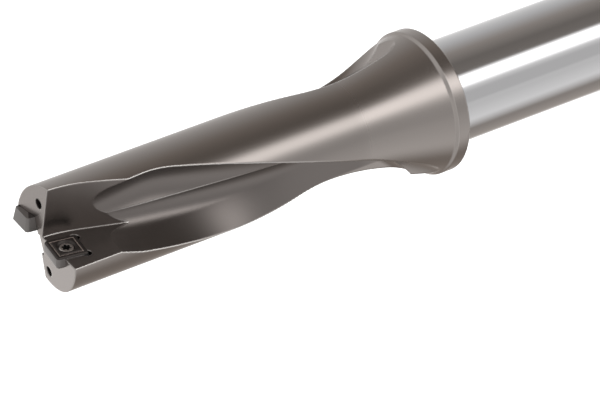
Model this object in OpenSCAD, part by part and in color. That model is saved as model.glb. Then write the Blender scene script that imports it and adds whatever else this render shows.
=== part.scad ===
// Indexable drill with two square inserts on a parallel shank.
// One steel body, turned and milled; two carbide inserts in milled seats, one countersunk screw each.
// Stands on the shank end with the tip up; the drill axis is Z.

/* [Shank] */
// Diameter of the ground shank
shank_d = 25; // [20:0.5:32]
// Shank length from the rear face to the flange
shank_len = 56; // [50:1:60]
// Chamfer on the rear edge
shank_chamfer = 1; // [0.5:0.1:1.5]
// Height from the clamping flat to the opposite side
flat_height = 23; // [22:0.1:24]
// Length of the clamping flat from the rear face
flat_len = 26; // [20:1:30]
// Direction the clamping flat faces
flat_dir = 40; // [0:5:90]

/* [Flange] */
// Flange diameter
flange_d = 35; // [32:0.5:38]
// Width of the plain flange band
flange_band = 3.4; // [3:0.1:5]
// Rear edge break on the flange
flange_break = 0.4; // [0.2:0.1:0.8]
// Rise of the chamfer on the front edge of the band
flange_ridge = 0.6; // [0.4:0.1:1]
// Height above the flange where the flare leaves the body
flare_start = 28; // [24:0.5:32]
// Radius of the hollow curve at the foot of the flare
flare_r = 60; // [40:1:80]
// Slope of the flare cone
flare_slope = 14; // [10:0.5:18]

/* [Body] */
// Diameter of the fluted body
body_d = 25.44; // [24:0.02:27]
// Height of the flat front land above the flange
front_upper = 106.1; // [104:0.1:108]
// Height of the sloped front land over the flat one, on the axis
front_step = 0.2; // [0:0.05:0.5]
// Slope of the sloped front land
front_slope = 7.06; // [4:0.01:10]
// Direction the sloped front land falls to
front_fall = 43.4; // [30:0.1:60]

/* [Flutes] */
// Twist of the flutes per millimetre
flute_twist = 1.37; // [1:0.01:1.6]
// Twist of the rake side groove close to the tip
tip_twist = 1.26; // [1:0.01:1.6]
// Twist of the back side groove close to the tip
back_tip_twist = 0.25; // [0:0.05:0.5]
// Angle from the first flute to the second
flute_pitch = 187.5; // [180:0.5:190]
// Radius of the rake side groove
rake_groove_r = 4.2; // [3.5:0.1:5]
// Reach of the rake side groove centre along its floor
rake_groove_reach = 5.7; // [5:0.1:6.5]
// Depth of the groove floor below the drill axis
rake_groove_floor = 1.107; // [0.5:0.001:1.5]
// Direction of the groove floor at the tip
rake_groove_dir = -177; // [-180:0.5:-170]
// Radius of the back side groove
back_groove_r = 6; // [5:0.1:7]
// Distance of the back side groove centre from the axis
back_groove_reach = 9; // [8:0.1:10]
// Direction of the back side groove where its twist begins
back_groove_dir = -136.8; // [-145:0.1:-130]
// Extra turn that narrows the second flute
narrow_turn = 20; // [0:1:25]
// Height above the flange where the rake side groove starts to run out
rake_runout = 44; // [40:0.5:48]
// Outward rise of its floor to the end of the run-out
rake_runout_rise = 16.6; // [16:0.1:18]
// Height above the flange where its twist ends
rake_twist_end = 31.5; // [28:0.5:36]
// Height above the flange where the back side groove starts to run out
back_runout = 50; // [46:0.5:54]
// Outward rise of its floor to the end of the run-out, first flute
back_runout_rise = 13.9; // [13.5:0.1:17]
// Outward rise of its floor to the end of the run-out, second flute
back_runout_rise_2 = 15; // [13.5:0.1:17]
// Height above the flange where its twist ends, first flute
back_twist_end = 16; // [14:0.5:30]
// Height above the flange where its twist ends, second flute
back_twist_end_2 = 24.5; // [14:0.5:30]
// Half length of the change from twist to straight
twist_ease = 5; // [3:0.5:8]
// Length at the tip where the rake side groove twists less
rake_tip_len = 31.1; // [26:0.1:36]
// Depth below the front land where the rake side groove has its tip direction
rake_tip_depth = 9.1; // [7:0.1:12]
// Length at the tip where the back side groove twists less
back_tip_len = 26.1; // [22:0.1:30]
// Depth below the front land where the first rake side groove ends
rake_end_depth = 6.1; // [5:0.1:9]
// Depth below the front land where the first back side groove ends
back_end_depth = 8.1; // [7:0.1:10]
// Depth below the front land where the second flute ends
second_end_depth = 7.6; // [7:0.1:9]
// Length at the tip where the second flute rises outward
tip_lift_len = 22.1; // [18:0.1:26]
// Outward rise of the second flute at the tip
tip_lift = 3.2; // [2:0.1:4]
// Height of the lowest flute cut over the flange band
flute_gap = 1.1; // [0.8:0.1:1.5]

/* [Chip gashes] */
// Depth below the front land where the gash walls start to lean
gash_knee_depth = 3.8; // [2:0.1:6]
// Length of the leaning part of a gash
gash_run = 21; // [18:0.5:24]
// Lean of the gash walls, sideways per millimetre of height
gash_lean = 0.3625; // [0.3:0.0005:0.42]
// Direction the first gash floor faces
gash1_floor_dir = -87; // [-95:0.5:-80]
// Direction the first gash wall faces
gash1_wall_dir = 172.6; // [165:0.1:180]
// Distance of the first gash wall past the axis
gash1_wall = -2.55; // [-3:0.01:-2]
// Direction the second gash floor faces
gash2_floor_dir = 95.5; // [90:0.5:100]
// Direction the second gash wall faces
gash2_wall_dir = 10.2; // [5:0.1:15]
// Distance of the second gash wall from the axis
gash2_wall = 4.7; // [4.3:0.01:5.2]

/* [Inserts] */
// Side of the square insert
insert_side = 7.94; // [6.35:0.01:9.52]
// Thickness of the insert
insert_t = 3.18; // [2.78:0.01:3.97]
// Corner radius
insert_corner_r = 0.8; // [0.4:0.1:1.2]
// Relief angle of the flanks
insert_relief = 11; // [7:0.5:15]
// Width of the flat land round the rake face
rim_land = 0.2; // [0.1:0.05:0.3]
// Width of the chip breaker groove
breaker_w = 1.2; // [0.8:0.1:1.5]
// Depth of the chip breaker groove
breaker_depth = 0.15; // [0.1:0.01:0.2]
// Centre insert: distance of its middle from the axis
centre_reach = 4.45; // [4:0.01:5]
// Centre insert: depth of its middle below the flat front land
centre_depth = 1.82; // [1:0.01:3]
// Centre insert: tilt, outer corner leading
centre_tilt = 10; // [5:0.5:15]
// Peripheral insert: direction of its rake face
outer_dir = 5.5; // [0:0.5:10]
// Peripheral insert: distance of its middle from the axis
outer_reach = 8.5; // [8:0.01:9]
// Peripheral insert: depth of its middle below the flat front land
outer_depth = 1.95; // [1:0.01:3]
// Peripheral insert: tilt, inner corner leading
outer_tilt = 9; // [5:0.5:15]

/* [Insert seats] */
// Angle of the seat walls, a little steeper than the insert relief
seat_angle = 14; // [11:0.5:16]
// Gap beside the centre insert on the axis side
seat_side_gap = 0.4; // [0.3:0.05:0.6]
// Radius of the corner reliefs
seat_relief_r = 1.2; // [0.8:0.1:1.3]

/* [Insert screws] */
// Thread diameter
screw_d = 2.5; // [2:0.1:3]
// Head diameter
screw_head_d = 3.5; // [3.3:0.1:3.8]
// Height of the straight rim of the head
screw_rim = 0.3; // [0.2:0.05:0.4]
// Included angle of the head cone
screw_cone = 60; // [50:1:90]
// Length of thread below the insert
screw_grip = 4.5; // [3:0.1:6]
// Tip-to-tip size of the six-lobe socket
socket_d = 2.3; // [1.9:0.1:2.4]
// Socket depth
socket_depth = 1.1; // [0.8:0.1:1.4]
// Clearance on diameter between thread and body
thread_clear = 0.04; // [0.02:0.01:0.1]
// Countersink diameter on the rake face
sink_d = 4.3; // [4:0.1:4.6]
// Hole diameter through the insert
insert_hole_d = 2.9; // [2.7:0.1:3.1]

/* [Coolant] */
// Diameter of the inlet port in the rear face
port_d = 8.8; // [8:0.1:10]
// Depth of the inlet port
port_depth = 15; // [12:0.5:20]
// Diameter of the feed bore
feed_d = 6; // [5:0.5:7]
// Length of the feed bore from the rear face
feed_len = 66; // [60:1:70]
// Diameter of the coolant channels
channel_d = 2.5; // [2:0.1:3]
// Channel in the flat land: distance from the axis
channel1_reach = 8.2; // [7.5:0.1:9]
// Channel in the flat land: direction at the tip
channel1_dir = -57.9; // [-65:0.1:-50]
// Channel in the sloped land: distance from the axis
channel2_reach = 9.6; // [9:0.1:10]
// Channel in the sloped land: direction at the tip
channel2_dir = 86.3; // [80:0.1:92]

/* [Hidden] */
$fn = 96;
body_r = body_d/2;
shank_r = shank_d/2;
flange_r = flange_d/2;
flange_z = shank_len;
ridge_z = flange_z + flange_band + flange_ridge;
flare_run = flare_r*tan(flare_slope/2);
flare_foot = flange_z + flare_start - flare_run;
ridge_r = body_r + (flare_foot - ridge_z)*tan(flare_slope);
front_stock = 2;
blank_top = flange_z + front_upper + front_stock;
far = 60;
groove_out = 20;
gash_knee = front_upper - gash_knee_depth;
centre_height = front_upper - centre_depth;
outer_height = front_upper - outer_depth;
rake_twist_z = front_upper - rake_tip_len;
rake_tip_z = front_upper - rake_tip_depth;
back_twist_z = front_upper - back_tip_len;
flute_low = flange_band + flute_gap;
back_groove_top = front_upper - back_end_depth;
rake_groove_top = front_upper - rake_end_depth;
second_flute_top = front_upper - second_end_depth;
tip_lift_z = front_upper - tip_lift_len;
arc_steps = 10;
runout_steps = 10;
twist_steps = 24;
channel_bend_z = 20;
channel_meet_z = 6;
channel_sides = 12;
seat_top = 6;
sink_depth = (sink_d - insert_hole_d)/2/tan(screw_cone/2);
head_sink = (sink_d - screw_head_d)/2/tan(screw_cone/2);
head_cone = (screw_head_d - screw_d)/2/tan(screw_cone/2);

// Height z, held level below a knee with a rounded change
function eased(z, knee) = z >= knee + twist_ease ? z
    : knee + pow(max(0, z - knee + twist_ease), 2)/(4*twist_ease);

// Turn of the rake side groove at height z above the flange
function rake_turn(z) =
    z > rake_twist_z ? tip_twist*(z - rake_tip_z)
    : tip_twist*(rake_twist_z - rake_tip_z) + flute_twist*(eased(z, rake_twist_end) - rake_twist_z);

// Turn of the back side groove at height z above the flange
function back_turn(z, end) =
    z > back_twist_z ? back_tip_twist*(z - back_twist_z)
    : flute_twist*(eased(z, end) - back_twist_z);

// Outward shift of a groove: the run-out at the flange and, on the second flute, the rise at the tip
function runout(z, start, rise) = rise*pow(max(0, start - z)/(start - flute_low), 3);
function tip_rise(z, lift) = lift*max(0, (z - tip_lift_z)/(rake_tip_z - tip_lift_z));

// Heights of the groove sections from the run-out to the top
function levels(start, top) = concat(
    [for (i = [0:runout_steps - 1]) flute_low + (start - flute_low)*i/runout_steps],
    [for (i = [0:twist_steps]) start + (top - start)*i/twist_steps]);

// Round-bottomed slot open to the outside, its upper side flared by rise
function slot(cx, cy, r, rise) = concat(
    [for (i = [0:arc_steps]) [cx + r*cos(90 + 180*i/arc_steps), cy + r*sin(90 + 180*i/arc_steps)]],
    [[groove_out, cy - r], [groove_out, cy + r + rise]]);

// One section turned by a and moved out by s at height z
function placed(section, a, s, z) = [for (p = section)
    [(p[0] + s)*cos(a) - p[1]*sin(a), (p[0] + s)*sin(a) + p[1]*cos(a), flange_z + z]];

// Solid through a stack of sections with m points each
module stack(points, m) {
    layers = len(points)/m;
    sides = [for (k = [0:layers - 2], j = [0:m - 1]) each [
        [k*m + j, (k + 1)*m + j, (k + 1)*m + (j + 1)%m],
        [k*m + j, (k + 1)*m + (j + 1)%m, k*m + (j + 1)%m]]];
    polyhedron(points, concat(sides,
        [[for (j = [0:m - 1]) j]],
        [[for (j = [0:m - 1]) layers*m - 1 - j]]));
}

// Rake side groove of a flute
module rake_groove(turn, top, lift) {
    section = slot(rake_groove_reach, rake_groove_r - rake_groove_floor, rake_groove_r, groove_out/2);
    stack([for (z = levels(rake_runout, top)) each placed(section, rake_groove_dir + rake_turn(z) + turn,
        runout(z, rake_runout, rake_runout_rise) + tip_rise(z, lift), z)], len(section));
}

// Back side groove of a flute
module back_groove(turn, top, lift, rise, end) {
    section = slot(back_groove_reach, 0, back_groove_r, 0);
    stack([for (z = levels(back_runout, top)) each placed(section, back_groove_dir + back_turn(z, end) + turn,
        runout(z, back_runout, rise) + tip_rise(z, lift), z)], len(section));
}

// Two grooves side by side make one flute
module flutes() {
    rake_groove(0, rake_groove_top, 0);
    back_groove(0, back_groove_top, 0, back_runout_rise, back_twist_end);
    rake_groove(flute_pitch, second_flute_top, tip_lift);
    back_groove(flute_pitch - narrow_turn, second_flute_top, tip_lift, back_runout_rise_2, back_twist_end_2);
}

// Coolant channel: twists with the land, then bends in to the feed bore
module channel(reach, dir) {
    top = back_twist_z + 1;
    zs = concat([channel_meet_z], [for (i = [0:20]) channel_bend_z + (top - channel_bend_z)*i/20]);
    ring = [for (i = [0:channel_sides - 1])
        0.48*channel_d*[cos(360*i/channel_sides), sin(360*i/channel_sides)]];
    stack([for (z = zs)
        let (r = z < channel_bend_z ? 0.5 : reach, a = dir + back_turn(min(z, back_twist_z), back_twist_end_2))
        each [for (p = ring) [p[0] + r*cos(a), p[1] + r*sin(a), flange_z + z]]], channel_sides);
}

module channel_mouth(reach, dir) {
    rotate(dir) translate([reach, 0, flange_z + back_twist_z])
        cylinder(d = channel_d, h = far);
}

// Chip gash ahead of an insert: floor parallel to the axis, wall that leans out below the knee
module gash(floor_dir, floor_off, wall_dir, wall_off) {
    low = gash_knee - gash_run;
    intersection() {
        rotate(floor_dir) translate([floor_off, -far, flange_z + low]) cube([2*far, 2*far, far]);
        rotate(wall_dir) rotate([90, 0, 0]) linear_extrude(2*far, center = true)
            polygon([[wall_off, flange_z + gash_knee],
                [wall_off, flange_z + low + far], [far, flange_z + low + far],
                [far, flange_z + low], [wall_off + gash_lean*(gash_knee - low), flange_z + low]]);
    }
}

// Turned blank: shank, flange, flare and body
module blank() {
    rotate_extrude() difference() {
        polygon([[0, 0], [shank_r - shank_chamfer, 0], [shank_r, shank_chamfer], [shank_r, flange_z],
            [flange_r - flange_break, flange_z], [flange_r, flange_z + flange_break],
            [flange_r, flange_z + flange_band], [ridge_r, ridge_z],
            [body_r + flare_run*sin(flare_slope), flare_foot - flare_run*cos(flare_slope)],
            [body_r, flare_foot + flare_run], [body_r, blank_top], [0, blank_top]]);
        translate([body_r + flare_r, flare_foot + flare_run]) circle(flare_r);
    }
}

// Stock above the two front lands
module front_cut() {
    intersection() {
        rotate(gash1_floor_dir) translate([-rake_groove_floor, -far, 0]) cube([2*far, 2*far, 5*far]);
        translate([-far, -far, flange_z + front_upper]) cube(2*far);
    }
    intersection() {
        rotate(gash1_floor_dir) translate([-2*far - rake_groove_floor, -far, 0]) cube([2*far, 2*far, 5*far]);
        translate([0, 0, flange_z + front_upper + front_step]) rotate([0, front_slope, front_fall])
            translate([-far, -far, 0]) cube(2*far);
    }
}

// Clamping flat on the shank
module clamping_flat() {
    rotate(flat_dir) translate([flat_height - shank_r, -shank_r, -1]) cube([shank_r, shank_d, flat_len + 1]);
}

// Inlet port and feed bore
module feed() {
    translate([0, 0, -1]) cylinder(d = port_d, h = port_depth + 1);
    translate([0, 0, port_depth - 0.01])
        cylinder(d1 = port_d, d2 = feed_d, h = (port_d - feed_d)/2);
    translate([0, 0, port_depth]) cylinder(d = feed_d, h = feed_len - port_depth);
    translate([0, 0, -0.01]) cylinder(d1 = port_d + 1.2, d2 = port_d, h = 0.6);
}

// Insert frames: X outward from the axis, Y to the rear, Z out of the rake face
module at_centre() {
    translate([-centre_reach, 0, flange_z + centre_height]) rotate([90, 0, 0])
        rotate(180 - centre_tilt) children();
}

module at_outer() {
    rotate(outer_dir) translate([outer_reach, 0, flange_z + outer_height]) rotate([-90, 0, 0])
        rotate(outer_tilt) children();
}

// Milled seat with two leaning walls; side is +1 for a wall on the outer side, -1 for the axis side
module seat(side, open) {
    half = insert_side/2;
    wall_low = half - insert_t*tan(insert_relief);
    wall_high = wall_low + (insert_t + seat_top)*tan(seat_angle);
    intersection() {
        rotate([90, 0, 90]) linear_extrude(4*far, center = true)
            polygon([[-far, -insert_t], [wall_low, -insert_t], [wall_high, seat_top], [-far, seat_top]]);
        rotate([90, 0, 0]) linear_extrude(4*far, center = true)
            polygon([[-side*open, -insert_t], [side*wall_low, -insert_t],
                [side*wall_high, seat_top], [-side*open, seat_top]]);
    }
    translate([side*(wall_low + 0.1), wall_low + 0.1, -insert_t])
        cylinder(r = seat_relief_r, h = insert_t + seat_top);
}

module thread_hole() {
    translate([0, 0, -insert_t - screw_grip - 0.6])
        cylinder(d = screw_d + thread_clear, h = screw_grip + 1);
}

module drill_body() {
    color("dimgray") difference() {
        blank();
        front_cut();
        flutes();
        gash(gash1_floor_dir, -rake_groove_floor, gash1_wall_dir, gash1_wall);
        gash(gash2_floor_dir, 0, gash2_wall_dir, gash2_wall);
        clamping_flat();
        feed();
        channel(channel1_reach, channel1_dir);
        channel(channel2_reach, channel2_dir);
        channel_mouth(channel1_reach, channel1_dir);
        channel_mouth(channel2_reach, channel2_dir);
        at_centre() {
            seat(1, insert_side/2 + seat_side_gap);
            thread_hole();
        }
        at_centre() translate([-insert_side/2 + seat_relief_r/4, insert_side/2 - seat_relief_r/4, -insert_t])
            cylinder(r = seat_relief_r, h = insert_t + seat_top);
        at_outer() {
            seat(-1, far);
            thread_hole();
        }
    }
}

// Square with rounded corners
module rounded(side, r) {
    square([side, side - 2*r], center = true);
    square([side - 2*r, side], center = true);
    for (x = [-1, 1], y = [-1, 1]) translate([x*(side/2 - r), y*(side/2 - r)]) circle(r, $fn = 32);
}

module insert() {
    difference() {
        rotate([180, 0, 0])
            linear_extrude(insert_t, scale = 1 - 2*insert_t*tan(insert_relief)/insert_side)
                rounded(insert_side, insert_corner_r);
        translate([0, 0, -breaker_depth]) linear_extrude(1) difference() {
            rounded(insert_side - 2*rim_land, insert_corner_r - rim_land);
            rounded(insert_side - 2*rim_land - 2*breaker_w, insert_corner_r);
        }
        translate([0, 0, -insert_t - 1]) cylinder(d = insert_hole_d, h = insert_t + 2);
        translate([0, 0, -sink_depth])
            cylinder(d1 = insert_hole_d, d2 = sink_d, h = sink_depth);
    }
}

module screw() {
    difference() {
        union() {
            translate([0, 0, -head_sink]) cylinder(d = screw_head_d, h = screw_rim);
            translate([0, 0, -head_sink - head_cone])
                cylinder(d1 = screw_d, d2 = screw_head_d, h = head_cone);
            translate([0, 0, -insert_t - screw_grip])
                cylinder(d = screw_d, h = insert_t + screw_grip - head_sink);
        }
        translate([0, 0, screw_rim - head_sink - socket_depth]) linear_extrude(socket_depth + 1) {
            circle(d = socket_d*0.72);
            for (i = [0:5]) rotate(60*i) translate([socket_d*0.36, 0]) circle(d = socket_d*0.28);
        }
    }
}

module centre_insert() {
    color("saddlebrown") at_centre() insert();
}

module peripheral_insert() {
    color("saddlebrown") at_outer() insert();
}

module centre_insert_screw() {
    color("silver") at_centre() screw();
}

module peripheral_insert_screw() {
    color("silver") at_outer() screw();
}

drill_body();
centre_insert();
peripheral_insert();
centre_insert_screw();
peripheral_insert_screw();
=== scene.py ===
import math

import bpy
from mathutils import Matrix, Vector


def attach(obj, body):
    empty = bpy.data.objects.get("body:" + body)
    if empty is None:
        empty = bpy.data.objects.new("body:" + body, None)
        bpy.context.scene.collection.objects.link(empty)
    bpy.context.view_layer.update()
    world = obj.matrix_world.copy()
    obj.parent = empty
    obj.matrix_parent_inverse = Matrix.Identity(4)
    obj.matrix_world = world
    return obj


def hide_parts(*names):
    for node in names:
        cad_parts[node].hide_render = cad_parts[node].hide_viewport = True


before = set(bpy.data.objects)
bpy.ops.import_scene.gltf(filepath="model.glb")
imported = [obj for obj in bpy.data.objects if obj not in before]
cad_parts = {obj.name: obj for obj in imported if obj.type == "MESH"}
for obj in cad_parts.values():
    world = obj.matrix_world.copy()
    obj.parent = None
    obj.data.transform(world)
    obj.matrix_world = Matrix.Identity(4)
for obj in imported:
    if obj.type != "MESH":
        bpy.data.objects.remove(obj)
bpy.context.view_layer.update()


# Drill body: one steel piece, turned on a lathe and milled. Shank, flange and flare are spun from
# one outline; the flutes, gashes, seats and coolant holes are cut from that blank. Sizes in metres.
def draw(points):
    """Draws a line through points in space; leaves its object in edit mode with all selected."""
    bpy.ops.mesh.primitive_plane_add(size=0.001)
    bpy.ops.object.mode_set(mode="EDIT")
    bpy.ops.mesh.select_all(action="SELECT")
    bpy.ops.mesh.merge(type="CENTER")
    bpy.ops.transform.translate(value=points[0])
    for start, end in zip(points, points[1:]):
        step = [b - a for a, b in zip(start, end)]
        bpy.ops.mesh.extrude_vertices_move(TRANSFORM_OT_translate={"value": step})
    bpy.ops.mesh.select_all(action="SELECT")
    return bpy.context.object


shank_r, shank_chamfer = 0.0125, 0.001
flange_z, flange_r, flange_chamfer, flange_top = 0.056, 0.0175, 0.0004, 0.0594
body_r, body_start, blank_top = 0.01272, 0.084, 0.164
ridge_z, flare_r, flare_slope = 0.060, 0.060, math.radians(14)
flare_run = flare_r * math.tan(flare_slope / 2)
flare_foot = body_start - flare_run
ridge_r = body_r + (flare_foot - ridge_z) * math.tan(flare_slope)
shank_len = flange_z - shank_chamfer
outline = [(0, 0, 0), (shank_r - shank_chamfer, 0, 0), (shank_r, 0, shank_chamfer)]
outline += [(shank_r, 0, shank_chamfer + shank_len * i / 8) for i in range(1, 9)]
outline += [(flange_r - flange_chamfer, 0, flange_z), (flange_r, 0, flange_z + flange_chamfer)]
outline += [(flange_r, 0, flange_top), (ridge_r, 0, ridge_z)]
for i in range(25):
    turn = flare_slope * (1 - i / 24)
    reach = body_r + flare_r * (1 - math.cos(turn))
    outline.append((reach, 0, flare_foot + flare_run - flare_r * math.sin(turn)))
outline += [(body_r, 0, body_start + (blank_top - body_start) * i / 24) for i in range(1, 25)]
outline += [(0, 0, blank_top)]
body = draw(outline)
body.name = "drill_body_finish"
bpy.ops.mesh.spin(steps=180, angle=2 * math.pi, center=(0, 0, 0), axis=(0, 0, 1))
bpy.ops.mesh.select_all(action="SELECT")
bpy.ops.mesh.remove_doubles(threshold=0.000002)
bpy.ops.mesh.normals_make_consistent(inside=False)
bpy.ops.object.mode_set(mode="OBJECT")


# Each flute is two round-bottomed grooves side by side. A groove is one slot outline drawn up the
# drill in short steps, turned a little at each step, and lifted outward where it runs out.
# Heights here are millimetres above the flange, and angles are degrees.
def cut(piece, tool, operation="DIFFERENCE"):
    """Takes the tool's volume out of the piece, or keeps what both share, and removes the tool."""
    bpy.ops.object.select_all(action="DESELECT")
    bpy.context.view_layer.objects.active = piece
    step = piece.modifiers.new("cut", "BOOLEAN")
    step.operation = operation
    step.solver = "MANIFOLD"
    step.object = tool
    bpy.ops.object.modifier_apply(modifier=step.name)
    bpy.data.objects.remove(tool, do_unlink=True)
    return piece


def eased(z, knee, half):
    """Height z, held level below the knee with a rounded change."""
    if z >= knee + half:
        return z
    return knee + max(0, z - knee + half) ** 2 / (4 * half)


def rake_turn(z, end):
    """Turn of the groove on the rake side: steady at the tip, steeper below, straight under its end."""
    return 1.26 * (z - 97) if z > 75 else -27.72 + 1.37 * (eased(z, end, 5) - 75)


def back_turn(z, end):
    """Turn of the groove behind it, which turns back a little at the tip."""
    return 1.37 * (eased(z, end, 5) - 80) - 1.6 * (eased(z, 80, 4) - 80)


def turned(degrees):
    return Matrix.Rotation(math.radians(degrees), 4, "Z")


first_floor_dir = -87
groove_foot = 4.5
slot_mouth = 0.026


def groove(centre, radius, flare, turn, start, runout, top, lift, climb):
    """Runout: height, outward reach and end of turn. Lift and climb: first height, mm per mm."""
    levels = [groove_foot + (top - groove_foot) * i / 72 for i in range(73)]
    angles = [math.radians(start + turn(z, runout[2])) for z in levels]
    fade = [(max(0, runout[0] - z) / (runout[0] - groove_foot)) ** 3 for z in levels]
    out = [(runout[1] * f + lift[1] * max(0, z - lift[0])) / 1000 for f, z in zip(fade, levels)]
    low = flange_z + levels[0] / 1000
    half_turn = [math.radians(90 + 180 * i / 32) for i in range(33)]
    section = [(centre[0] + radius * math.cos(a), centre[1] + radius * math.sin(a), low) for a in half_turn]
    section += [(slot_mouth, centre[1] - radius, low), (slot_mouth, centre[1] + radius + flare, low)]
    tool = draw(section)
    bpy.ops.mesh.edge_face_add()
    bpy.ops.transform.translate(value=(out[0], 0, 0))
    bpy.ops.transform.rotate(value=-angles[0], orient_axis="Z", center_override=(0, 0, 0))
    for i in range(1, len(levels)):
        rise = (levels[i] - levels[i - 1]) / 1000
        swing = angles[i] - angles[i - 1]
        own = Vector((math.cos(angles[i - 1]), math.sin(angles[i - 1]), 0)) * (out[i] - out[i - 1])
        up = [turned(first_floor_dir) @ Vector((climb[1] * max(0, z - climb[0]) / 1000, 0, 0))
              for z in levels[i - 1:i + 1]]
        move = own + Matrix.Rotation(-swing, 3, "Z") @ up[1] - up[0]
        bpy.ops.mesh.extrude_region_move(TRANSFORM_OT_translate={"value": (move.x, move.y, rise)})
        bpy.ops.transform.rotate(value=-swing, orient_axis="Z", center_override=(0, 0, 0))
    bpy.ops.mesh.select_all(action="SELECT")
    bpy.ops.mesh.normals_make_consistent(inside=False)
    bpy.ops.object.mode_set(mode="OBJECT")
    return tool


rake_slot = ((0.0057, 0.003093), 0.0042, 0.010)
back_slot = ((0.009, 0), 0.006, 0)
level = (84, 0)
second_lift = (84, 0.246)
cut(body, groove(*rake_slot, rake_turn, -177, (44, 16.6, 31.5), 100, level, (88.5, 0.11)))
cut(body, groove(*back_slot, back_turn, -136.8, (50, 13.9, 16), 98, level, level))
cut(body, groove(*rake_slot, rake_turn, 10.5, (44, 16.6, 31.5), 98.5, second_lift, level))
cut(body, groove(*back_slot, back_turn, 30.7, (50, 15, 24.5), 98.5, second_lift, level))


# Front lands: one square to the axis, one sloped, parted along the first gash floor. The cutters
# are blocks drawn as an outline in one plane and pulled through the other.
def placed(tool, place):
    """Takes a tool drawn at the origin to its place, with the place in its mesh."""
    tool.matrix_world = place
    bpy.ops.object.transform_apply(location=True, rotation=True, scale=True)
    return tool


def prism(points, depth, place):
    tool = draw([(p[0], p[1], -depth / 2) for p in points])
    bpy.ops.mesh.edge_face_add()
    bpy.ops.mesh.extrude_region_move(TRANSFORM_OT_translate={"value": (0, 0, depth)})
    bpy.ops.mesh.select_all(action="SELECT")
    bpy.ops.mesh.normals_make_consistent(inside=False)
    bpy.ops.object.mode_set(mode="OBJECT")
    return placed(tool, place)


wide = 0.06
square = [(-wide, -wide), (wide, -wide), (wide, wide), (-wide, wide)]


def half_space(direction, low, high):
    return prism([(low, -wide), (high, -wide), (high, wide), (low, wide)], 0.6, turned(direction))


first_floor = -0.001107
flat_land_z, sloped_land_z, land_parting = 0.1621, 0.1623, -0.0009
above = Matrix.Translation((0, 0, wide / 2))
land = prism(square, wide, Matrix.Translation((0, 0, flat_land_z)) @ above)
cut(body, cut(land, half_space(first_floor_dir, first_floor, wide), "INTERSECT"))
slope = turned(43.4) @ Matrix.Rotation(math.radians(7.06), 4, "Y")
land = prism(square, wide, Matrix.Translation((0, 0, sloped_land_z)) @ slope @ above)
cut(body, cut(land, half_space(first_floor_dir, -wide, land_parting), "INTERSECT"))

# Chip gashes ahead of the inserts: flat floor along the axis, wall that leans out below its knee.
upright = Matrix.Rotation(math.radians(90), 4, "X")
knee_z, knee_half, wall_lean = 0.1583, 0.005, 0.3625
wall_below, wall_above = 0.021, 0.039


def gash(floor_dir, floor_off, wall_dir, wall_off):
    drops = [-knee_half + 2 * knee_half * i / 16 for i in range(17)]
    knee = [(wall_off + wall_lean * max(0, knee_half + t) ** 2 / (4 * knee_half), knee_z - t) for t in drops]
    foot, head = knee_z - wall_below, knee_z + wall_above
    side = [(wall_off + wall_lean * wall_below, foot)] + knee[::-1]
    side += [(wall_off, head), (wide, head), (wide, foot)]
    wall = prism(side, 0.12, turned(wall_dir) @ upright)
    return cut(wall, half_space(floor_dir, floor_off, wide), "INTERSECT")


cut(body, gash(first_floor_dir, first_floor, 172.6, -0.00255))
cut(body, gash(95.5, 0, 10.2, 0.0047))

# Insert places: X outward from the axis, Y to the rear, Z out of the rake face.
centre_place = Matrix.Translation((-0.00445, 0, 0.16028)) @ upright @ turned(170)
outer_place = (turned(5.5) @ Matrix.Translation((0.0085, 0, 0.16015))
               @ Matrix.Rotation(math.radians(-90), 4, "X") @ turned(9))


# Insert seats: two leaning walls on a flat floor, a round relief in each closed corner, a thread.
def rod(radius, low, high, place, sides=48):
    bpy.ops.mesh.primitive_cylinder_add(vertices=sides, radius=radius, depth=high - low,
                                        location=(0, 0, (low + high) / 2))
    tool = bpy.context.object
    bpy.ops.object.transform_apply(location=True, rotation=False, scale=False)
    return placed(tool, place)


insert_side, insert_t, insert_relief = 0.00794, 0.00318, math.radians(11)
seat_lean, seat_top, relief_r, relief_shift = math.radians(14), 0.006, 0.0012, 0.0001
thread_r, thread_end, thread_mouth = 0.00127, -0.00775, 0.0004


def seat(side, open_to, place):
    low = insert_side / 2 - insert_t * math.tan(insert_relief)
    high = low + (insert_t + seat_top) * math.tan(seat_lean)
    across = prism([(-wide, -insert_t), (low, -insert_t), (high, seat_top), (-wide, seat_top)], 0.24,
                   place @ turned(90) @ upright)
    along = prism([(-side * open_to, -insert_t), (side * low, -insert_t), (side * high, seat_top),
                   (-side * open_to, seat_top)], 0.24, place @ upright)
    cut(body, cut(across, along, "INTERSECT"))
    corner = low + relief_shift
    cut(body, rod(relief_r, -insert_t, seat_top, place @ Matrix.Translation((side * corner, corner, 0))))
    cut(body, rod(thread_r, thread_end, thread_mouth - insert_t, place))


seat(1, 0.00437, centre_place)
far_corner = centre_place @ Matrix.Translation((-0.00367, 0.00367, 0))
cut(body, rod(relief_r, -insert_t, seat_top, far_corner))
seat(-1, wide, outer_place)

# Coolant outlets in the two front lands, drilled along the drill.
outlet_r, outlet_low, outlet_high = 0.00125, 0.136, 0.19
for reach, direction in ((0.0082, -57.9), (0.0096, 86.3)):
    spot = turned(direction) @ Matrix.Translation((reach, 0, 0))
    cut(body, rod(outlet_r, outlet_low, outlet_high, spot))

# Clamping flat along the shank, and the coolant inlet in its rear face.
flat_off, flat_end, flat_len = 0.0105, 0.023, 0.026
flat = [(flat_off, -shank_r), (flat_end, -shank_r), (flat_end, shank_r), (flat_off, shank_r)]
cut(body, prism(flat, 2 * flat_len, turned(40)))
cut(body, rod(0.0044, -0.01, 0.015, Matrix.Identity(4), 96))
cut(body, rod(0.003, 0.014, 0.066, Matrix.Identity(4), 96))
bpy.ops.object.select_all(action="DESELECT")
body.select_set(True)
bpy.context.view_layer.objects.active = body
bpy.ops.object.shade_smooth_by_angle(angle=math.radians(10))


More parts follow.
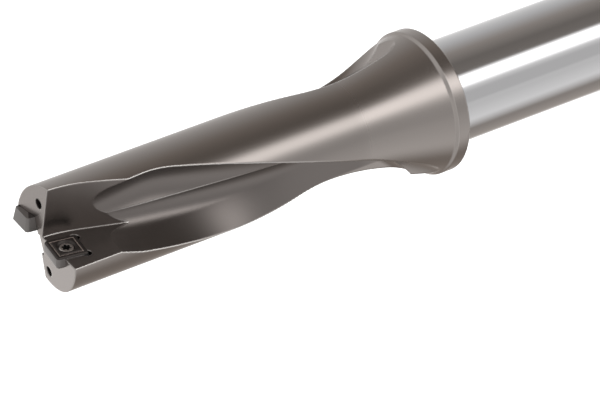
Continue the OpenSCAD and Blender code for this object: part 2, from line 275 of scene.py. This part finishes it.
# Nickel-plated steel with a satin blasted surface: soft, warm grey reflections. The milled flutes are
# rougher and carry painted shade, a darker colour; the edges carry a painted highlight, a near-white colour,
# and the shank is bare, ground to a mirror-like finish.
def linear(code):
    """Linear colour from an sRGB hex code."""
    parts = [int(code[i:i + 2], 16) / 255 for i in (1, 3, 5)]
    return [c / 12.92 if c <= 0.04045 else ((c + 0.055) / 1.055) ** 2.4 for c in parts] + [1.0]


def add_node(tree, kind, settings, links):
    """Adds one node: settings are properties or input values, links are input name to output socket."""
    node = tree.nodes.new(kind)
    for key, value in settings.items():
        if isinstance(key, str) and hasattr(node, key):
            setattr(node, key, value)
        else:
            node.inputs[key].default_value = value
    for key, socket in links.items():
        tree.links.new(socket, node.inputs[key])
    return node


steel = bpy.data.materials.new("plated_and_ground_steel")
steel.use_nodes = True
tree = steel.node_tree
shader = tree.nodes["Principled BSDF"]
shader.inputs["Metallic"].default_value = 1.0
place = add_node(tree, "ShaderNodeTexCoord", {}, {})
split = add_node(tree, "ShaderNodeSeparateXYZ", {}, {0: place.outputs["Object"]})
plated = add_node(tree, "ShaderNodeMath", {"operation": "GREATER_THAN", 1: 0.0559}, {0: split.outputs["Z"]})
tone = add_node(tree, "ShaderNodeMix", {"data_type": "RGBA", 6: linear("#e0e0e2"), 7: linear("#afa8a4")},
                {0: plated.outputs[0]})
rough = add_node(tree, "ShaderNodeMapRange", {3: 0.12, 4: 0.27}, {0: plated.outputs[0]})
across = add_node(tree, "ShaderNodeVectorMath", {"operation": "MULTIPLY", 1: (1, 1, 0)},
                  {0: place.outputs["Object"]})
reach = add_node(tree, "ShaderNodeVectorMath", {"operation": "LENGTH"}, {0: across.outputs[0]})
inner = add_node(tree, "ShaderNodeMapRange", {1: 0.0128, 2: 0.0123}, {0: reach.outputs["Value"]})
facing = add_node(tree, "ShaderNodeNewGeometry", {}, {})
upward = add_node(tree, "ShaderNodeSeparateXYZ", {}, {0: facing.outputs["Normal"]})
side = add_node(tree, "ShaderNodeMapRange", {1: 0.7, 2: 0.5}, {0: upward.outputs["Z"]})
ahead = add_node(tree, "ShaderNodeMapRange", {1: 0.060, 2: 0.075}, {0: split.outputs["Z"]})
inside = add_node(tree, "ShaderNodeMath", {"operation": "MULTIPLY"},
                  {0: inner.outputs[0], 1: side.outputs[0]})
flute_shade_and_matt = add_node(tree, "ShaderNodeMath", {"operation": "MULTIPLY"},
                  {0: inside.outputs[0], 1: ahead.outputs[0]})
# Painted shade: faces inside the body's radius that face sideways, in the flutes and gashes, are mixed
# towards a darker colour.
tone = add_node(tree, "ShaderNodeMix", {"data_type": "RGBA", 7: linear("#87817e")},
                {0: flute_shade_and_matt.outputs[0], 6: tone.outputs[2]})
# Painted highlight: where the bevel normal leans away from the face normal, at convex edges and concave
# creases alike, the colour is mixed towards near-white, and less so where the edge faces the tip.
edge = add_node(tree, "ShaderNodeBevel", {"samples": 12, "Radius": 0.0006}, {})
lean = add_node(tree, "ShaderNodeVectorMath", {"operation": "DOT_PRODUCT"},
                {0: edge.outputs[0], 1: facing.outputs["Normal"]})
edge_highlight_mask = add_node(tree, "ShaderNodeMapRange", {1: 0.99, 2: 0.85}, {0: lean.outputs["Value"]})
rise = add_node(tree, "ShaderNodeSeparateXYZ", {}, {0: edge.outputs[0]})
along = add_node(tree, "ShaderNodeMapRange", {1: 0.12, 2: 0.3, 3: 1, 4: 0.25}, {0: rise.outputs["Z"]})
painted_highlight_amount = add_node(tree, "ShaderNodeMath", {"operation": "MULTIPLY"},
                 {0: edge_highlight_mask.outputs[0], 1: along.outputs[0]})
painted_edge_highlight = add_node(tree, "ShaderNodeMix", {"data_type": "RGBA", 7: linear("#f4f1ee")},
                       {0: painted_highlight_amount.outputs[0], 6: tone.outputs[2]})
tree.links.new(painted_edge_highlight.outputs[2], shader.inputs["Base Color"])
matt = add_node(tree, "ShaderNodeMapRange", {4: 0.12}, {0: flute_shade_and_matt.outputs[0]})
rough = add_node(tree, "ShaderNodeMath", {"operation": "ADD"}, {0: rough.outputs[0], 1: matt.outputs[0]})
tree.links.new(rough.outputs[0], shader.inputs["Roughness"])
tree.links.new(edge.outputs[0], shader.inputs["Normal"])
body.data.materials.clear()
body.data.materials.append(steel)
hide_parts("drill_body")
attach(body, "root")

# Square carbide inserts, pressed and sintered, ground on the flanks and coated dark. Each has a
# chip breaker groove inside its rim and a countersunk hole in the middle, and a screw holds it.

# Coated carbide: dark vapour coating left on the pressed rake face.
coated = bpy.data.materials.new("coated_carbide")
coated.use_nodes = True
tree = coated.node_tree
shader = tree.nodes["Principled BSDF"]
shader.inputs["Base Color"].default_value = linear("#3a3533")
shader.inputs["Metallic"].default_value = 0.75
shader.inputs["Roughness"].default_value = 0.38
edge = add_node(tree, "ShaderNodeBevel", {"samples": 6, "Radius": 0.00012}, {})
tree.links.new(edge.outputs[0], shader.inputs["Normal"])

# Ground carbide: flanks finished on a fine diamond wheel, under the same thin coating.
ground = bpy.data.materials.new("ground_carbide")
ground.use_nodes = True
tree = ground.node_tree
shader = tree.nodes["Principled BSDF"]
shader.inputs["Base Color"].default_value = linear("#7b7775")
shader.inputs["Metallic"].default_value = 0.85
shader.inputs["Roughness"].default_value = 0.34
edge = add_node(tree, "ShaderNodeBevel", {"samples": 6, "Radius": 0.00012}, {})
tree.links.new(edge.outputs[0], shader.inputs["Normal"])

# Ridge carbide: the ridge of the chip breaker, in a lighter colour than the coated rake around it.
ridge_finish = bpy.data.materials.new("ridge_carbide")
ridge_finish.use_nodes = True
shader = ridge_finish.node_tree.nodes["Principled BSDF"]
shader.inputs["Base Color"].default_value = linear("#b9aca5")
shader.inputs["Metallic"].default_value = 0.85
shader.inputs["Roughness"].default_value = 0.3

# Chip breaker, from the rim inward: inset and rise of each step. The ridge lies between two reaches.
breaker = ((0.00005, 0), (0.0005, -0.00018), (0.0003, 0), (0.00022, 0.0002), (0.0001, 0))
ridge_in, ridge_out = 0.00285, 0.0031
corner_r, hole_r, hole_zone = 0.0008, 0.00145, 0.0024


def select_faces(piece, wanted):
    """Selects the faces whose upward normal is wanted; ends in edit mode."""
    bpy.ops.mesh.select_all(action="DESELECT")
    bpy.ops.object.mode_set(mode="OBJECT")
    for f in piece.data.polygons:
        f.select = wanted(f.normal.z)
    bpy.ops.object.mode_set(mode="EDIT")


def cone(low_r, high_r, depth, middle, place):
    bpy.ops.mesh.primitive_cone_add(vertices=64, radius1=low_r, radius2=high_r, depth=depth,
                                    location=(0, 0, middle))
    tool = bpy.context.object
    bpy.ops.object.transform_apply(location=True, rotation=False, scale=False)
    return placed(tool, place)


def carbide_insert(name, place):
    bpy.ops.mesh.primitive_cube_add(size=1, location=(0, 0, -insert_t / 2))
    piece = bpy.context.object
    piece.name = name
    piece.scale = (insert_side, insert_side, insert_t)
    bpy.ops.object.transform_apply(location=True, rotation=False, scale=True)
    bpy.ops.object.mode_set(mode="EDIT")
    bpy.ops.mesh.select_all(action="DESELECT")
    bpy.ops.object.mode_set(mode="OBJECT")
    for e in piece.data.edges:
        a, b = (piece.data.vertices[i].co for i in e.vertices)
        e.select = abs(a.z - b.z) > 0.001
    bpy.ops.object.mode_set(mode="EDIT")
    bpy.ops.mesh.select_mode(type="EDGE")
    bpy.ops.mesh.bevel(offset=corner_r, segments=8, affect="EDGES")
    bpy.ops.mesh.select_mode(type="FACE")
    select_faces(piece, lambda up: up < -0.9)
    shrink = 1 - 2 * insert_t * math.tan(insert_relief) / insert_side
    bpy.ops.transform.resize(value=(shrink, shrink, 1), center_override=(0, 0, -insert_t))
    select_faces(piece, lambda up: up > 0.9)
    side = insert_side
    for inset, rise in breaker:
        bpy.ops.mesh.extrude_region_move(TRANSFORM_OT_translate={"value": (0, 0, rise)})
        scale = (side - 2 * inset) / side
        bpy.ops.transform.resize(value=(scale, scale, 1), center_override=(0, 0, 0))
        side -= 2 * inset
    bpy.ops.object.mode_set(mode="OBJECT")
    placed(piece, place)
    cut(piece, cone(hole_r, 0.002727, 0.002212, -0.000106, place))
    cut(piece, cone(0.00177, 0.00345, 0.0014, 0.0003, place))
    cut(piece, rod(hole_r, -0.006, 0.001, place, 64))
    bpy.ops.object.select_all(action="DESELECT")
    piece.select_set(True)
    bpy.context.view_layer.objects.active = piece
    bpy.ops.object.shade_smooth_by_angle(angle=math.radians(25))
    piece.data.materials.clear()
    for finish in (ground, coated, ridge_finish):
        piece.data.materials.append(finish)
    back = place.inverted()
    for f in piece.data.polygons:
        up = (back.to_3x3() @ f.normal).z > 0.3
        spot = back @ f.center
        ridge = ridge_in < max(abs(spot.x), abs(spot.y)) < ridge_out
        f.material_index = 2 if up and ridge else 1 if up or spot.xy.length < hole_zone else 0
    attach(piece, "root")
    return piece


centre = carbide_insert("centre_insert_finish", centre_place)
outer = carbide_insert("peripheral_insert_finish", outer_place)
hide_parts("centre_insert")
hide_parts("peripheral_insert")

# Insert screws: turned steel, countersunk head with a six-lobe socket pressed in. Each passes
# through its insert into the thread in the body.

# Turned steel: plain and bright, with fine even reflections.
turned_steel = bpy.data.materials.new("turned_steel")
turned_steel.use_nodes = True
tree = turned_steel.node_tree
shader = tree.nodes["Principled BSDF"]
shader.inputs["Base Color"].default_value = linear("#cdc8c4")
shader.inputs["Metallic"].default_value = 1.0
shader.inputs["Roughness"].default_value = 0.3
edge = add_node(tree, "ShaderNodeBevel", {"samples": 6, "Radius": 0.0001}, {})
tree.links.new(edge.outputs[0], shader.inputs["Normal"])

# Painted shade: a near-black matt colour on the socket's faces, standing in for the shade in that recess.
socket_shade = bpy.data.materials.new("painted_socket_shade")
socket_shade.use_nodes = True
shader = socket_shade.node_tree.nodes["Principled BSDF"]
shader.inputs["Base Color"].default_value = linear("#191716")
shader.inputs["Roughness"].default_value = 0.7

# Shank end, then rise and widening of each step: shank, cone, rim, chamfer.
screw_r, screw_end = 0.00125, -0.00768
screw_steps = ((0.006121, 1), (0.000866, 1.4), (0.00018, 1), (0.00012, 0.88))
socket_r, socket_base, lobe_r, socket_zone = 0.00083, -0.00149, 0.00032, 0.00118


def insert_screw(name, place):
    bpy.ops.mesh.primitive_circle_add(vertices=64, radius=screw_r, fill_type="NGON",
                                      location=(0, 0, screw_end))
    piece = bpy.context.object
    piece.name = name
    bpy.ops.object.transform_apply(location=True, rotation=False, scale=False)
    bpy.ops.object.mode_set(mode="EDIT")
    bpy.ops.mesh.select_all(action="SELECT")
    for rise, scale in screw_steps:
        bpy.ops.mesh.extrude_region_move(TRANSFORM_OT_translate={"value": (0, 0, rise)})
        bpy.ops.transform.resize(value=(scale, scale, 1), center_override=(0, 0, 0))
    bpy.ops.mesh.select_all(action="SELECT")
    bpy.ops.mesh.normals_make_consistent(inside=False)
    bpy.ops.object.mode_set(mode="OBJECT")
    cut(piece, rod(socket_r, socket_base, 0.001, Matrix.Identity(4)))
    for i in range(6):
        lobe = turned(60 * i) @ Matrix.Translation((socket_r, 0, 0))
        cut(piece, rod(lobe_r, socket_base, 0.001, lobe, 24))
    piece.data.materials.clear()
    piece.data.materials.append(turned_steel)
    piece.data.materials.append(socket_shade)
    # Painted shade: the socket's wall and floor faces take the near-black colour.
    for f in piece.data.polygons:
        height = f.center.z
        wall = height > -0.0016 and f.center.xy.length < socket_zone and f.normal.z < 0.99
        base = -0.0016 < height < -0.0014
        f.material_index = 1 if wall or base else 0
    piece.matrix_world = place
    bpy.ops.object.select_all(action="DESELECT")
    piece.select_set(True)
    bpy.context.view_layer.objects.active = piece
    bpy.ops.object.transform_apply(location=True, rotation=True, scale=True)
    bpy.ops.object.shade_smooth_by_angle(angle=math.radians(25))
    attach(piece, "root")
    return piece


centre_screw = insert_screw("centre_insert_screw_finish", centre_place)
outer_screw = insert_screw("peripheral_insert_screw_finish", outer_place)
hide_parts("centre_insert_screw")
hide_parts("peripheral_insert_screw")

# Pale floor under the shank, matt white paper without gloss.
bpy.ops.mesh.primitive_plane_add(size=12, location=(0, 0, 0))
floor = bpy.context.object
floor.name = "floor"
paper = bpy.data.materials.new("white_paper")
paper.use_nodes = True
shader = paper.node_tree.nodes["Principled BSDF"]
shader.inputs["Base Color"].default_value = linear("#f7f7f7")
shader.inputs["Roughness"].default_value = 0.9
shader.inputs["Specular IOR Level"].default_value = 0.0
floor.data.materials.append(paper)

# Camera at the photo's viewing angle, long lens, rolled so the drill lies across the picture.
bpy.ops.object.camera_add()
camera = bpy.context.object
camera.data.sensor_width = 36
camera.data.lens = 341.2
camera.data.clip_start = 0.05
camera.data.clip_end = 60
right = Vector((-0.58454, -0.03725, -0.81051))
up = Vector((0.47530, -0.82531, -0.30486))
back = right.cross(up)
stand = Matrix.Translation((-0.87003, -0.73004, 0.75335))
camera.matrix_world = stand @ Matrix((right, up, back)).transposed().to_4x4()
bpy.context.scene.camera = camera
bpy.context.scene.view_settings.view_transform = "Standard"

# Soft studio light: a room of pale panels with one bright strip beside the camera and two darker gaps,
# an even grey ceiling, and an overhead sun that keeps the floor white. The metal mirrors the room.
world = bpy.data.worlds.new("room")
bpy.context.scene.world = world
world.use_nodes = True
tree = world.node_tree
view = add_node(tree, "ShaderNodeTexCoord", {}, {})
split = add_node(tree, "ShaderNodeSeparateXYZ", {}, {0: view.outputs["Generated"]})
compass = add_node(tree, "ShaderNodeMath", {"operation": "ARCTAN2"},
                   {0: split.outputs["Y"], 1: split.outputs["X"]})
around = add_node(tree, "ShaderNodeMapRange", {1: -math.pi, 2: math.pi}, {0: compass.outputs[0]})
panels = add_node(tree, "ShaderNodeValToRGB", {}, {0: around.outputs[0]})
stops = ((-157, 0.53), (-147, 0.76), (-139, 2.0), (-123, 2.0), (-115, 0.20), (-90, 0.165), (-60, 0.30),
         (-30, 0.51), (10, 0.76), (40, 1.2), (70, 0.40), (112, 0.28), (138, 0.79), (170, 0.63))
ramp = panels.color_ramp
while len(ramp.elements) < len(stops):
    ramp.elements.new(0.5)
for element, (bearing, bright) in zip(ramp.elements, stops):
    green, blue = (0.99, 0.98) if bright > 0.4 else (0.90, 0.82)
    element.position = (bearing + 180) / 360
    element.color = (bright, bright * green, bright * blue, 1)
height = add_node(tree, "ShaderNodeMapRange", {"interpolation_type": "SMOOTHSTEP", 1: 0.08, 2: 0.35},
                  {0: split.outputs["Z"]})
room = add_node(tree, "ShaderNodeMix", {"data_type": "RGBA", 7: (0.68, 0.676, 0.671, 1)},
                {0: height.outputs[0], 6: panels.outputs[0]})
tree.links.new(room.outputs[2], tree.nodes["Background"].inputs[0])
floor.visible_glossy = False
bpy.ops.object.light_add(type="SUN", location=(0, 0, 2), rotation=(0.35, 0.25, 0))
overhead = bpy.context.object
overhead.name = "overhead"
overhead.data.energy = 3.3
overhead.data.angle = 1.0
overhead.visible_glossy = False
